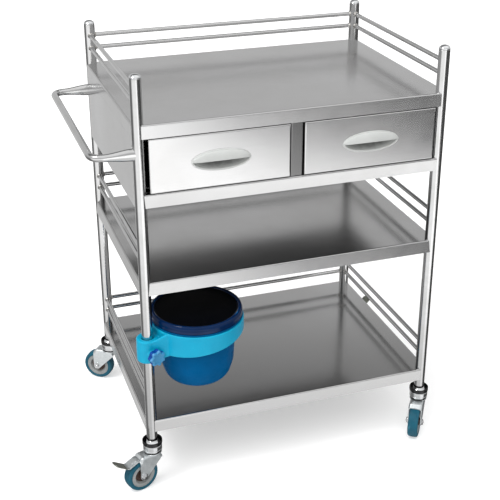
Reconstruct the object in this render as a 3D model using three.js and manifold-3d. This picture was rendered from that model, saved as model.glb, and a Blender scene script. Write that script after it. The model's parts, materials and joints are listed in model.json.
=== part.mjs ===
// Stainless steel instrument cart: three open shelves with guard rails, two drawers under the top shelf,
// a push handle, four swivel casters (two braked) and a lidded waste bucket in a ring clamped to a post.
// Millimetres, +Z up, front of the cart towards -Y. Everything is placed in cart coordinates, with the
// middle of the four posts on the floor as zero, and moved to the origin of the part at the end.
import * as THREE from "three";
import { mergeVertices } from "three/addons/utils/BufferGeometryUtils.js";
import Module from "manifold-3d";

const wasm = await Module();
wasm.setup();

// ---------- driving dimensions ----------

const GAP = 0.3; // running clearance between touching pieces
const SHEET = 1.5; // steel sheet
const PAST = 5; // how far a cutting tool reaches past what it cuts
const SPAN = { x: 680, y: 475 }; // between post centres
const POST = { radius: 12.5, wall: 1.5, bottom: 122, top: 975, sides: 16 };
const CAP = { dome: 9, plug: 14 };
const OUTER = { x: SPAN.x / 2 + POST.radius, y: SPAN.y / 2 + POST.radius }; // outer faces of the sheets
const SHELF = { top: 880, middle: 526, bottom: 177, flange: 30 };
const RAIL = { radius: 4.8, heights: { lower: 39, upper: 69 }, sides: 10 };

const BAY = { floor: 729, back: SPAN.y / 2 - POST.radius - GAP }; // floor surface, outer face of the back
const BAY_TOP = SHELF.top - SHELF.flange;
const LEDGE = { bottom: 733, thickness: 3, inner: 312 };
const DIVIDER = { half: 14, front: -246, ledge: 12 };

const DRAWER = { near: 16, far: 322, front: -251.5, thickness: 14, bottom: 730.5, top: 848.5 };
const DRAWER_BOX = { inset: 6.5, bottom: 736.5, top: 830, back: 200, wall: 1.5 };
const PULL = { halfLength: 65, halfHeight: 23.5, bezel: 2, border: 2.5, depth: 11, wall: 1.5 };
const HOOD = { bulge: 11, lip: 2 }; // over the upper half of each pull

const HANDLE = { height: 816, reach: 97, radius: 7.8, bend: 28, sides: 10, steps: 40 };
const FLARE = { length: 58, halfHeight: 13.5, halfWidth: 10, overlap: 2 }; // arm root, at the post

const CASTER = { trail: 34, wheelRadius: 40, wheelWidth: 25, sides: 20 };
const STEM = { radius: 10.5, top: 165, chamfer: 2 };
const DUST_RING = { radius: 23, top: 121.5, bottom: 111.5, edge: 2.5 }; // on top of the swivel bearing's cup
const CUP = { radius: 22, top: 110, bottom: 90.3, corner: 4 };
const FORK = { top: 90, plate: 3.5, inner: 14.5, wall: 2.5, crown: 21, toe: 15, slope: 12 };
const AXLE = { radius: 4, boss: 9, nut: 6.5, end: 22, thread: 1 };
const RIM = { radius: 29.7, halfWidth: 11, inner: 19, bore: 4.5, bossHalf: 13.8, web: 5, slope: 4 };
const TYRE = { inner: 30, shoulder: 3.5 };
const PEDAL = { halfWidth: 13, thickness: 2.5, lean: 1.5 };
const PEDAL_BENDS = [[-6, 82], [10, 82], [36, 71.5], [70, 94]]; // underside: distance past the axle, height

const CARRIER = { reach: 128, direction: 17, top: 406, outer: 107.5, inner: 99, sides: 28 };
const CARRIER_FOOT = { near: 350, far: 378 }; // lower edge of the band beside the post and opposite it
const CLAMP = { radius: 25, bottom: 335, top: 390 };
const KNOB = { height: 356, start: 28.3, end: 45, radius: 19, lobe: 2.2, lobes: 6, stud: 4, boss: 12 };
const BUCKET = { bottom: 245.5, foot: 83, corner: 50, waist: 87, waistHeight: 360, mouth: 93, wall: 2.5 };
const BUCKET_RIM = { radius: 105, bottom: 406.5, top: 409.5, fillet: 8 };
const LID = { radius: 104, bottom: 410, top: 429, dish: 3, lip: 9 };
const ROUND_SIDES = 24; // of the bucket and its lid

// ---------- materials ----------

const finish = (color, roughness, metalness) =>
  new THREE.MeshStandardMaterial({ color, roughness, metalness });
const STEEL = finish(0xb3b7b7, 0.28, 1);
const BRIGHT_STEEL = finish(0xc8cccc, 0.15, 1);
const ZINC = finish(0xb8bec0, 0.35, 1);
const RUBBER = finish(0x1e5a78, 0.55, 0);
const GREY_PLASTIC = finish(0xa9adb0, 0.5, 0);
const PALE_PLASTIC = finish(0xdadedd, 0.45, 0);
const CYAN_PLASTIC = finish(0x1cc4e0, 0.4, 0);
const BLUE_PLASTIC = finish(0x125a8e, 0.35, 0);
const KNOB_PLASTIC = finish(0x4b91c8, 0.4, 0);
const BLACK_PLASTIC = finish(0x06070c, 0.3, 0);

const cart = new THREE.Group();
cart.name = "instrument_cart";

function addPiece(parent, name, material, geometry) {
  const mesh = new THREE.Mesh(geometry, material);
  mesh.name = name;
  parent.add(mesh);
  return mesh;
}

// ---------- shapes ----------

function toSolid(geometry) {
  const bare = new THREE.BufferGeometry().setAttribute("position", geometry.getAttribute("position"));
  bare.setIndex(geometry.index);
  const merged = mergeVertices(bare, 1e-4);
  return new wasm.Manifold(
    new wasm.Mesh({
      numProp: 3,
      vertProperties: merged.attributes.position.array,
      triVerts: new Uint32Array(merged.index.array),
    }),
  );
}

function toGeometry(solid) {
  const mesh = solid.getMesh();
  return new THREE.BufferGeometry()
    .setAttribute("position", new THREE.BufferAttribute(mesh.vertProperties, 3))
    .setIndex(new THREE.BufferAttribute(mesh.triVerts, 1))
    .toNonIndexed();
}

const joined = (...pieces) => toGeometry(pieces.map(toSolid).reduce((a, b) => a.add(b)));
const cut = (piece, ...tools) =>
  toGeometry(tools.map(toSolid).reduce((left, tool) => left.subtract(tool), toSolid(piece)));
const common = (a, b) => toGeometry(toSolid(a).intersect(toSolid(b)));

const inOrder = (a, b) => [Math.min(a, b), Math.max(a, b)];

// A box between two corners.
function block(x0, x1, y0, y1, z0, z1) {
  return new THREE.BoxGeometry(x1 - x0, y1 - y0, z1 - z0).translate(
    (x0 + x1) / 2,
    (y0 + y1) / 2,
    (z0 + z1) / 2,
  );
}

// A round bar standing on z0, at x, y.
function bar(radius, z0, z1, x = 0, y = 0, sides = POST.sides) {
  return new THREE.CylinderGeometry(radius, radius, z1 - z0, sides)
    .rotateX(Math.PI / 2)
    .translate(x, y, (z0 + z1) / 2);
}

// A round bar lying along X or Y, from a to b.
function barAlongX(radius, a, b, y, z, sides) {
  return bar(radius, a, b, 0, 0, sides).rotateY(Math.PI / 2).translate(0, y, z);
}

function barAlongY(radius, a, b, x, z, sides) {
  return bar(radius, a, b, 0, 0, sides).rotateX(-Math.PI / 2).translate(x, 0, z);
}

// A turned piece: its outline is [radius, height] pairs, going up outside.
function turned(outline, sides) {
  const points = outline.map(([radius, height]) => new THREE.Vector2(radius, height));
  return new THREE.LatheGeometry(points, sides).rotateX(Math.PI / 2);
}

// Points on a quarter circle, from one angle to another in degrees.
function arc(x, y, radius, from, to, count) {
  return Array.from({ length: count + 1 }, (_, i) => {
    const angle = THREE.MathUtils.degToRad(from + ((to - from) * i) / count);
    return [x + radius * Math.cos(angle), y + radius * Math.sin(angle)];
  });
}

// A plate cut to an outline in the XZ plane, from y0 to y1.
function plateXZ(outline, y0, y1) {
  const shape = new THREE.Shape(outline.map(([x, z]) => new THREE.Vector2(x, z)));
  return new THREE.ExtrudeGeometry(shape, { depth: y1 - y0, bevelEnabled: false })
    .rotateX(Math.PI / 2)
    .translate(0, y1, 0);
}

// An oval plate standing in the XZ plane, centred on the Y axis.
function ovalXZ(halfLength, halfHeight, y0, y1, sides = 24) {
  return barAlongY(1, y0, y1, 0, 0, sides).scale(halfLength, 1, halfHeight);
}

const CORNERS = [
  { name: "front_left", x: -SPAN.x / 2, y: -SPAN.y / 2, heading: 198, braked: true },
  { name: "front_right", x: SPAN.x / 2, y: -SPAN.y / 2, heading: 234, braked: false },
  { name: "back_left", x: -SPAN.x / 2, y: SPAN.y / 2, heading: 144, braked: false },
  { name: "back_right", x: SPAN.x / 2, y: SPAN.y / 2, heading: 20, braked: true },
];

// The space of one post with its clearance, and the corner outside it that no sheet reaches into.
function postSpace({ x, y }, z0, z1) {
  const outside = POST.radius + PAST;
  const xs = inOrder(x, x + Math.sign(x) * outside);
  const ys = inOrder(y, y + Math.sign(y) * outside);
  return joined(bar(POST.radius + GAP, z0, z1, x, y), block(...xs, ...ys, z0, z1));
}

const clearOfPosts = (piece, z0, z1) => cut(piece, ...CORNERS.map((c) => postSpace(c, z0, z1)));

// ---------- frame ----------

function makePosts() {
  const { radius, wall, bottom, top, sides } = POST;
  const inner = radius - wall;
  for (const { name, x, y } of CORNERS) {
    const tube = [[inner, bottom], [radius, bottom], [radius, top], [inner, top], [inner, bottom]];
    addPiece(cart, "post_" + name, STEEL, turned(tube, sides).translate(x, y, 0));
    const plug = [[0, top - CAP.plug], [inner - GAP, top - CAP.plug], [inner - GAP, top + GAP]];
    const dome = arc(0, 0, 1, 0, 90, 4).map(([r, h]) => [r * radius, top + GAP + h * CAP.dome]);
    dome[dome.length - 1][0] = 0;
    addPiece(cart, "post_cap_" + name, BRIGHT_STEEL, turned([...plug, ...dome], sides).translate(x, y, 0));
  }
}

// A shelf is a flat sheet with all four edges folded down, notched round the posts.
function folded(halfX, front, back, top) {
  const bottom = top - SHELF.flange;
  const outside = block(-halfX, halfX, front, back, bottom, top);
  const [x, y0, y1] = [halfX - SHEET, front + SHEET, back - SHEET];
  const inside = block(-x, x, y0, y1, bottom - PAST, top - SHEET);
  return clearOfPosts(cut(outside, inside), bottom - PAST, top + PAST);
}

function makeShelves() {
  for (const level of ["top", "middle", "bottom"])
    addPiece(cart, level + "_shelf", STEEL, folded(OUTER.x, -OUTER.y, OUTER.y, SHELF[level]));
}

// Two rails above each shelf, on the left, the right and the back.
function makeRails() {
  const alongX = SPAN.x / 2 - POST.radius - GAP;
  const alongY = SPAN.y / 2 - POST.radius - GAP;
  for (const level of ["top", "middle", "bottom"])
    for (const [which, height] of Object.entries(RAIL.heights)) {
      const z = SHELF[level] + height;
      const { radius, sides } = RAIL;
      const lengthwise = (x) => barAlongY(radius, -alongY, alongY, x, z, sides);
      const name = `rail_${level}_${which}_`;
      addPiece(cart, name + "left", BRIGHT_STEEL, lengthwise(-SPAN.x / 2));
      addPiece(cart, name + "right", BRIGHT_STEEL, lengthwise(SPAN.x / 2));
      addPiece(cart, name + "back", BRIGHT_STEEL, barAlongX(radius, -alongX, alongX, SPAN.y / 2, z, sides));
    }
}

function makePushHandle() {
  const { height, reach, radius, bend, sides, steps } = HANDLE;
  const post = -SPAN.x / 2;
  const grip = post - reach;
  const half = SPAN.y / 2;
  const at = (x, y) => new THREE.Vector3(x, y, height);
  const path = new THREE.CurvePath();
  path.add(new THREE.LineCurve3(at(post, half), at(grip + bend, half)));
  path.add(new THREE.QuadraticBezierCurve3(at(grip + bend, half), at(grip, half), at(grip, half - bend)));
  path.add(new THREE.LineCurve3(at(grip, half - bend), at(grip, bend - half)));
  path.add(new THREE.QuadraticBezierCurve3(at(grip, bend - half), at(grip, -half), at(grip + bend, -half)));
  path.add(new THREE.LineCurve3(at(grip + bend, -half), at(post, -half)));
  const round = arc(0, 0, radius, 0, 360, sides).slice(1);
  const section = new THREE.Shape(round.map(([x, y]) => new THREE.Vector2(x, y)));
  const tube = new THREE.ExtrudeGeometry(section, { steps, bevelEnabled: false, extrudePath: path });
  const root = (y) =>
    new THREE.CylinderGeometry(1, radius / FLARE.halfHeight, FLARE.length, sides)
      .rotateZ(-Math.PI / 2)
      .scale(1, FLARE.halfWidth, FLARE.halfHeight)
      .translate(post - POST.radius + FLARE.overlap - FLARE.length / 2, y, height);
  const [low, high] = [height - FLARE.halfHeight - PAST, height + FLARE.halfHeight + PAST];
  const bay = block(-OUTER.x - GAP, post, -half, half, low, high);
  const beyondPosts = block(post, 0, -OUTER.y, OUTER.y, low, high);
  const posts = [-half, half].map((y) => bar(POST.radius + GAP, low, high, post, y));
  const whole = joined(tube, root(half), root(-half));
  addPiece(cart, "push_handle", BRIGHT_STEEL, cut(whole, ...posts, bay, beyondPosts));
}

// ---------- drawer bay ----------

function makeBay() {
  const bottom = BAY.floor - SHELF.flange;
  const top = BAY_TOP - GAP;
  const floorSide = OUTER.x - SHEET - GAP;
  const floorBack = BAY.back - SHEET - GAP;
  addPiece(cart, "drawer_bay_floor", STEEL, folded(floorSide, -OUTER.y, floorBack, BAY.floor));

  const ledgeTop = LEDGE.bottom + LEDGE.thickness;
  const sides = [-1, 1].map((side) => {
    const xs = inOrder(side * OUTER.x, side * (OUTER.x - SHEET));
    const ledge = inOrder(side * LEDGE.inner, side * (OUTER.x - SHEET / 2));
    return joined(
      block(...xs, -SPAN.y / 2, SPAN.y / 2, bottom, top),
      block(...ledge, GAP - BAY.back, BAY.back - SHEET / 2, LEDGE.bottom, ledgeTop),
    );
  });
  const middleOfSheet = OUTER.x - SHEET / 2;
  const back = block(-middleOfSheet, middleOfSheet, BAY.back - SHEET, BAY.back, bottom, top);
  const shell = clearOfPosts(joined(...sides, back), bottom - PAST, top + PAST);
  addPiece(cart, "drawer_bay_shell", STEEL, shell);

  const { half, front, ledge } = DIVIDER;
  const dividerTop = SHELF.top - SHEET - GAP;
  const channel = cut(
    block(-half, half, front, floorBack, BAY.floor + GAP, dividerTop),
    block(SHEET - half, half - SHEET, front + SHEET, floorBack + PAST, BAY.floor, dividerTop + PAST),
  );
  const ledges = [-1, 1].map((side) => {
    const xs = inOrder(side * (half - SHEET / 2), side * (half + ledge));
    return block(...xs, GAP - BAY.back, floorBack, LEDGE.bottom, ledgeTop);
  });
  addPiece(cart, "drawer_divider", STEEL, joined(channel, ...ledges));
}

// A drawer of folded sheet with a thick hollow front, open above, and an oval hole for its pull.
function makeDrawer(name, side) {
  const { near, far, front, thickness, bottom, top } = DRAWER;
  const box = DRAWER_BOX;
  const xs = inOrder(side * near, side * far);
  const [left, right] = [xs[0] + box.inset, xs[1] - box.inset];
  const middle = { x: (xs[0] + xs[1]) / 2, z: (bottom + top) / 2 };
  const panelBack = front + thickness;
  const panel = block(...xs, front, panelBack, bottom, top);
  const { wall } = box;
  const trayFront = panelBack - thickness / 10; // runs into the panel, so that the two are one piece
  const tray = cut(
    block(left, right, trayFront, box.back, box.bottom, box.top),
    block(left + wall, right - wall, panelBack - PAST, box.back - wall, box.bottom + wall, box.top + PAST),
  );
  const [holeX, holeZ] = [PULL.halfLength - PULL.border, PULL.halfHeight - PULL.border];
  const hole = ovalXZ(holeX, holeZ, front - PAST, panelBack + PAST).translate(middle.x, 0, middle.z);
  addPiece(cart, "drawer_" + name, STEEL, cut(joined(panel, tray), hole));
  addPiece(cart, "drawer_pull_" + name, PALE_PLASTIC, makePull(front).translate(middle.x, 0, middle.z));
}

// A moulded pull: an oval bezel on the drawer front, a dish let into it and a hood over the upper half.
function makePull(front) {
  const { halfLength, halfHeight, bezel, border, depth, wall } = PULL;
  const { bulge, lip } = HOOD;
  const [dishX, dishZ] = [halfLength - border - GAP, halfHeight - border - GAP];
  const body = joined(
    ovalXZ(halfLength, halfHeight, front - GAP - bezel, front - GAP),
    ovalXZ(dishX, dishZ, front - GAP - bezel, front + depth),
  );
  const dished = cut(body, ovalXZ(dishX - wall, dishZ - wall, front - bezel - PAST, front + depth - wall));
  const dome = (grow) =>
    new THREE.SphereGeometry(1, 16, 8)
      .scale(halfLength - border + grow, bulge + grow, halfHeight - border + grow)
      .translate(0, front - GAP - 0.75 * bezel, 0);
  const foremost = front - bezel - bulge - PAST;
  const upperHalf = block(-halfLength, halfLength, foremost, front - GAP - bezel / 2, -lip, halfHeight);
  return joined(dished, common(cut(dome(0), dome(-wall)), upperHalf));
}

// ---------- casters ----------

function makeCaster(corner) {
  const { name, x, y, heading, braked } = corner;
  const steady = new THREE.Group();
  steady.position.set(x, y, 0);
  cart.add(steady);
  const turnedAway = new THREE.Group();
  turnedAway.position.set(x, y, 0);
  turnedAway.rotation.z = THREE.MathUtils.degToRad(heading);
  cart.add(turnedAway);
  addPiece(steady, "caster_stem_" + name, ZINC, stemShape());
  addPiece(turnedAway, "caster_fork_" + name, ZINC, forkShape());
  addPiece(turnedAway, "caster_tyre_" + name, RUBBER, tyreShape());
  addPiece(turnedAway, "caster_rim_" + name, GREY_PLASTIC, rimShape());
  if (braked) addPiece(turnedAway, "brake_pedal_" + name, ZINC, pedalShape());
}

// The stem pushes up into the post; its cup is the upper half of the swivel bearing.
function stemShape() {
  const { radius, top, chamfer } = STEM;
  const ring = DUST_RING;
  const outline = [
    [0, CUP.bottom], [CUP.radius - CUP.corner, CUP.bottom], [CUP.radius, CUP.bottom + CUP.corner],
    [CUP.radius, CUP.top], [ring.radius, ring.bottom], [ring.radius, ring.top - ring.edge],
    [ring.radius - ring.edge, ring.top], [radius, ring.top],
    [radius, top - chamfer], [radius - chamfer, top], [0, top],
  ];
  return turned(outline, POST.sides);
}

// The fork is a pressed channel: crown plate above, two cheeks, and the axle with its nuts through them.
// The wheel trails along +X.
function forkShape() {
  const { trail, wheelRadius } = CASTER;
  const { top, plate, inner, wall, crown, toe, slope } = FORK;
  const { radius, boss, nut, end, thread } = AXLE;
  const outer = inner + wall;
  const heel = trail + plate;
  const cheek = [
    [-toe, top - slope], [plate - toe, top], [heel, top], [trail + boss, top - slope],
    ...arc(trail, wheelRadius, boss, 0, -150, 4),
  ];
  const nutFace = outer - wall / 4; // runs into the cheek, so that the two are one piece
  return joined(
    bar(crown, top - plate, top),
    block(0, heel, -outer, outer, top - plate, top),
    plateXZ(cheek, inner, outer),
    plateXZ(cheek, -outer, -inner),
    barAlongY(radius, -end, end, trail, wheelRadius, 8),
    barAlongY(nut, thread - end, -nutFace, trail, wheelRadius, 6),
    barAlongY(nut, nutFace, end - thread, trail, wheelRadius, 6),
  );
}

// A turned wheel part on its axle, with one flat of its rim facing down.
const onAxle = (shape) =>
  shape
    .rotateZ(Math.PI / 2 + Math.PI / CASTER.sides)
    .rotateX(Math.PI / 2)
    .translate(CASTER.trail, 0, CASTER.wheelRadius);

function tyreShape() {
  const { wheelRadius, wheelWidth, sides } = CASTER;
  const { inner, shoulder } = TYRE;
  const half = wheelWidth / 2;
  const edge = wheelRadius - shoulder;
  const outline = [
    [inner, -half], ...arc(edge, shoulder - half, shoulder, -90, 0, 2),
    ...arc(edge, half - shoulder, shoulder, 0, 90, 2), [inner, half], [inner, -half],
  ];
  return onAxle(turned(outline, sides));
}

function rimShape() {
  const { radius, halfWidth, inner, bore, bossHalf, web, slope } = RIM;
  const upper = [[radius, halfWidth], [inner, halfWidth], [inner - slope, web], [bore, bossHalf]];
  const lower = upper.map(([r, h]) => [r, -h]).reverse();
  return onAxle(turned([...lower, ...upper, lower[0]], CASTER.sides));
}

// A bent plate over the tyre, ending in the foot tab.
function pedalShape() {
  const { halfWidth, thickness, lean } = PEDAL;
  const under = PEDAL_BENDS.map(([x, z]) => [CASTER.trail + x, z]);
  const over = under.map(([x, z]) => [x, z + thickness]).reverse();
  over[0][0] -= lean;
  return plateXZ([...under, ...over], -halfWidth, halfWidth);
}

// ---------- bucket on its ring ----------

// The carrier's own frame has the post on the Z axis and the bucket along +X.
function makeBucket() {
  const carrier = new THREE.Group();
  carrier.position.set(-SPAN.x / 2, -SPAN.y / 2, 0);
  carrier.rotation.z = THREE.MathUtils.degToRad(CARRIER.direction);
  cart.add(carrier);
  addPiece(carrier, "bucket_ring", CYAN_PLASTIC, ringShape());
  addPiece(carrier, "clamp_knob", KNOB_PLASTIC, knobShape());
  addPiece(carrier, "waste_bucket", BLUE_PLASTIC, bucketShape().translate(CARRIER.reach, 0, 0));
  addPiece(carrier, "bucket_lid", BLACK_PLASTIC, lidShape().translate(CARRIER.reach, 0, 0));
}

// A band round the bucket, deeper beside the post, moulded in one with the clamp that grips the post.
function ringShape() {
  const { reach, top, outer, inner, sides } = CARRIER;
  const [low, high] = [CLAMP.bottom - PAST, top + PAST];
  const band = bar(outer, CLAMP.bottom, top, reach, 0, sides);
  const [nearX, farX] = [reach - outer - PAST, reach + outer + PAST];
  const { near, far } = CARRIER_FOOT;
  const below = plateXZ([[nearX, low], [farX, low], [farX, far], [nearX, near]], -farX, farX);
  const clamp = bar(CLAMP.radius, CLAMP.bottom, CLAMP.top);
  const boss = barAlongY(KNOB.boss, GAP - KNOB.start, 0, 0, KNOB.height, 16);
  return cut(
    joined(cut(band, below), clamp, boss),
    bar(inner, low, high, reach, 0, sides),
    bar(POST.radius + GAP, low, high),
    barAlongY(KNOB.stud + GAP, -KNOB.end, 0, 0, KNOB.height, 12),
  );
}

// A lobed hand knob whose stud passes through the clamp and presses on the post.
function knobShape() {
  const { height, start, end, radius, lobe, lobes, stud } = KNOB;
  const count = lobes * 6;
  const edge = Array.from({ length: count }, (_, i) => {
    const angle = (2 * Math.PI * i) / count;
    const r = radius - lobe + lobe * Math.cos(lobes * angle);
    return [r * Math.cos(angle), height + r * Math.sin(angle)];
  });
  return joined(
    plateXZ(edge, -end, -start),
    barAlongY(stud, -start - stud / 2, -POST.radius - 2 * GAP, 0, height, 12),
  );
}

function bucketShape() {
  const { bottom, foot, corner, waist, waistHeight, mouth, wall } = BUCKET;
  const rim = BUCKET_RIM;
  const outside = [
    [0, bottom], ...arc(foot - corner, bottom + corner, corner, -90, 0, 4), [waist, waistHeight],
    [mouth, rim.bottom - rim.fillet], [mouth + rim.fillet / 4, rim.bottom],
    [rim.radius, rim.bottom], [rim.radius, rim.top],
  ];
  const inside = [
    [mouth - wall, rim.top], [waist - wall, waistHeight],
    ...arc(foot - corner, bottom + corner, corner - wall, 0, -90, 4), [0, bottom + wall],
  ];
  return turned([...outside, ...inside], ROUND_SIDES);
}

function lidShape() {
  const { radius, bottom, top, dish, lip } = LID;
  const outline = [
    [0, bottom], [radius, bottom], ...arc(radius - dish, top - dish, dish, 0, 90, 2),
    [radius - lip / 2, top], [radius - lip, top - dish], [0, top - dish],
  ];
  return turned(outline, ROUND_SIDES);
}

// ---------- assembly ----------

makePosts();
makeShelves();
makeRails();
makePushHandle();
makeBay();
makeDrawer("left", -1);
makeDrawer("right", 1);
CORNERS.forEach(makeCaster);
makeBucket();

// The origin of the part is the middle of its footprint, on the floor.
const part = new THREE.Group();
part.add(cart);
part.updateMatrixWorld(true);
const extent = new THREE.Box3().setFromObject(part, true);
const middle = extent.getCenter(new THREE.Vector3());
cart.position.set(-middle.x, -middle.y, -extent.min.z);

export default part;
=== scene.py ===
"""The instrument cart's looks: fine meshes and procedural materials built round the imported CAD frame."""

import json
import math

import bmesh
import bpy
from mathutils import Matrix, Vector


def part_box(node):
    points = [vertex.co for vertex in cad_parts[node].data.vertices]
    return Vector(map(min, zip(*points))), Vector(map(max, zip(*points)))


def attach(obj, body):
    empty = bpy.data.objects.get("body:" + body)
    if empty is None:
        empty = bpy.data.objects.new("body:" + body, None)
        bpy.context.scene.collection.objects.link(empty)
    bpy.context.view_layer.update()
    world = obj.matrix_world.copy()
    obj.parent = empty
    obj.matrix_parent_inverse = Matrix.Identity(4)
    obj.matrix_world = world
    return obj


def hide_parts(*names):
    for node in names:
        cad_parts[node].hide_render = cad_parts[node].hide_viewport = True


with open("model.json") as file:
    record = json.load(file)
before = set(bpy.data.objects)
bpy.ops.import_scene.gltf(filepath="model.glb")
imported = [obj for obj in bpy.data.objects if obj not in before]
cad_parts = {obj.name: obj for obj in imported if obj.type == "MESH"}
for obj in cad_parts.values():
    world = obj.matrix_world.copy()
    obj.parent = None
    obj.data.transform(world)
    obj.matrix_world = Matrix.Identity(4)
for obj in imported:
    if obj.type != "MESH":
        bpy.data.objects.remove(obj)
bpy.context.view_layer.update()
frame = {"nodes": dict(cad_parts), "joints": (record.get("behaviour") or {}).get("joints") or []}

MM = 0.001

# ---------- what the frame says ----------


def middle(node):
    low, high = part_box(node)
    return (low + high) / 2


def half_size(node):
    low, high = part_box(node)
    return (high - low) / 2


def joint(name):
    return next(j for j in frame["joints"] if j["name"] == name)


CORNERS = ("front_left", "front_right", "back_left", "back_right")
LEVELS = ("top", "middle", "bottom")
POSTS = {corner: middle("post_" + corner) for corner in CORNERS}
POST_RADIUS = half_size("post_front_left").x
POST_CLEARANCE = 0.3 * MM
SHEET = 1.5 * MM
CART = "cart_frame"

# ---------- building meshes ----------


class Build:
    """Collects the points and faces of one piece, in metres."""

    def __init__(self):
        self.points = []
        self.faces = []

    def loft(self, rings, closed=True, caps=False):
        """Skins a row of rings that have the same number of points."""
        first = len(self.points)
        count = len(rings[0])
        for ring in rings:
            self.points.extend(Vector(point) for point in ring)
        for row in range(len(rings) - 1):
            for step in range(count if closed else count - 1):
                a = first + row * count + step
                b = first + row * count + (step + 1) % count
                self.faces.append((a, b, b + count, a + count))
        if caps:
            last = first + (len(rings) - 1) * count
            self.faces.append(tuple(reversed(range(first, first + count))))
            self.faces.append(tuple(range(last, last + count)))
        return self

    def flat(self, outline):
        """One face with many corners."""
        first = len(self.points)
        self.points.extend(Vector(point) for point in outline)
        self.faces.append(tuple(range(first, first + len(outline))))
        return self

    def box(self, low, high):
        """A closed box between two corners."""
        (x0, y0, z0), (x1, y1, z1) = low, high
        rings = [[(x0, y0, z), (x1, y0, z), (x1, y1, z), (x0, y1, z)] for z in (z0, z1)]
        return self.loft(rings, caps=True)

    def turned(self, outline, sides=48, axis="Z"):
        """A turned piece from its outline of (radius, place along the axis)."""
        turn = {"Z": Matrix.Identity(3), "Y": Matrix.Rotation(-math.pi / 2, 3, "X")}[axis]
        rings = []
        for radius, height in outline:
            ring = [(radius * c, radius * s, height) for c, s in circle(sides)]
            rings.append([turn @ Vector(point) for point in ring])
        return self.loft(rings)

    def placed(self, matrix):
        self.points = [matrix @ point for point in self.points]
        return self


def circle(sides, turn=0.0):
    angles = (turn + 2 * math.pi * i / sides for i in range(sides))
    return [(math.cos(a), math.sin(a)) for a in angles]


TINY = 1e-9
SIDE_SHARE = 0.49  # of a side that one rounded corner may take


def rounded(outline, radius, steps=4, closed=False):
    """A 2-D outline with each corner rounded; a corner can give its own radius as a third number."""
    points = [Vector(point[:2]) for point in outline]
    own = [point[2] if len(point) > 2 else radius for point in outline]
    made = []
    for i, point in enumerate(points):
        if not closed and i in (0, len(points) - 1):
            made.append(tuple(point))
            continue
        before, after = points[i - 1] - point, points[(i + 1) % len(points)] - point
        shorter = min(before.length, after.length)
        if shorter < TINY or own[i] == 0:
            made.append(tuple(point))
            continue
        half_angle = before.angle(after) / 2
        reach = min(own[i] / math.tan(half_angle), SIDE_SHARE * shorter)
        a, b = point + before.normalized() * reach, point + after.normalized() * reach
        for step in range(steps + 1):
            t = step / steps
            made.append(tuple(a * (1 - t) ** 2 + point * 2 * t * (1 - t) + b * t**2))
    return made


def ring_path(outline, radius, steps=4):
    """A rounded outline that ends where it starts, for a ring of solid section."""
    made = rounded(outline, radius, steps, closed=True)
    return [*made, made[0]]


def scaled(outline):
    """An outline given in millimetres, in metres."""
    return [tuple(value * MM for value in point) for point in outline]


def merge(build, other, matrix=Matrix.Identity(4)):
    first = len(build.points)
    build.points.extend(matrix @ point for point in other.points)
    build.faces.extend(tuple(first + i for i in face) for face in other.faces)
    return build


def smooth_step(t):
    t = min(max(t, 0.0), 1.0)
    return t * t * (3 - 2 * t)


def applied(obj):
    """Replaces an object's mesh by the one that its modifiers give."""
    graph = bpy.context.evaluated_depsgraph_get()
    mesh = bpy.data.meshes.new_from_object(obj.evaluated_get(graph))
    obj.modifiers.clear()
    obj.data = mesh
    return obj


def added(name, data):
    """A new object in the scene."""
    obj = bpy.data.objects.new(name, data)
    bpy.context.scene.collection.objects.link(obj)
    return obj


SAME_POINT = 0.002 * MM
BEVEL_FROM = math.radians(50)
BLEND = {"factor": 0.5, "passes": 6}


def joined_mesh(name, build, face_up):
    """The mesh of a Build with its doubled points joined; face_up turns the widest face's front upward."""
    mesh = bpy.data.meshes.new(name)
    mesh.from_pydata(build.points, [], build.faces)
    work = bmesh.new()
    work.from_mesh(mesh)
    bmesh.ops.remove_doubles(work, verts=work.verts, dist=SAME_POINT)
    bmesh.ops.recalc_face_normals(work, faces=work.faces)
    widest = max(work.faces, key=lambda face: face.calc_area())
    if face_up and widest.normal.z < 0:
        bmesh.ops.reverse_faces(work, faces=work.faces)
    work.to_mesh(mesh)
    work.free()
    return mesh


def piece(
    name, build, material, body, slot, stands_for=(), wall=0, bevel=0, sharp=48, blended=0, inside=None
):
    """Makes an object of a Build, gives its sheet a wall and its edges a bevel, and sets it on its body.

    Sharp is the angle in degrees from which an edge stays crisp. Blended is the size of the cells that melt
    the parts of a moulding into one skin. Inside is the metal of the sheet's inner face.
    """
    mesh = joined_mesh(name, build, face_up=bool(inside))
    obj = added(name, mesh)
    mesh.materials.append(material)
    if inside:
        mesh.materials.append(inside)
    if wall:
        sheet = obj.modifiers.new("sheet", "SOLIDIFY")
        sheet.thickness = wall
        sheet.offset = 0
        sheet.use_even_offset = True
        sheet.material_offset = 1 if inside else 0
    if blended:
        skin = obj.modifiers.new("moulded", "REMESH")
        skin.mode = "VOXEL"
        skin.voxel_size = blended
        ease = obj.modifiers.new("eased", "SMOOTH")
        ease.factor = BLEND["factor"]
        ease.iterations = BLEND["passes"]
    if bevel:
        edge = obj.modifiers.new("edges", "BEVEL")
        edge.width = bevel
        edge.segments = 2
        edge.limit_method = "ANGLE"
        edge.angle_limit = BEVEL_FROM
    if obj.modifiers:
        applied(obj)
    obj.data.shade_smooth()
    obj.data.set_sharp_from_angle(angle=math.radians(sharp))
    even = obj.modifiers.new("even_light", "WEIGHTED_NORMAL")
    even.keep_sharp = True
    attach(obj, body)
    if stands_for:
        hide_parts(*stands_for)
    return obj


def turned_piece(name, outline, sides, place, material, body, slot, stands_for=(), axis="Z", **finish):
    """A piece turned from its outline in millimetres."""
    build = Build().turned(scaled(outline), sides, axis).placed(place)
    piece(name, build, material, body, slot, stands_for, **finish)


# ---------- materials ----------


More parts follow.
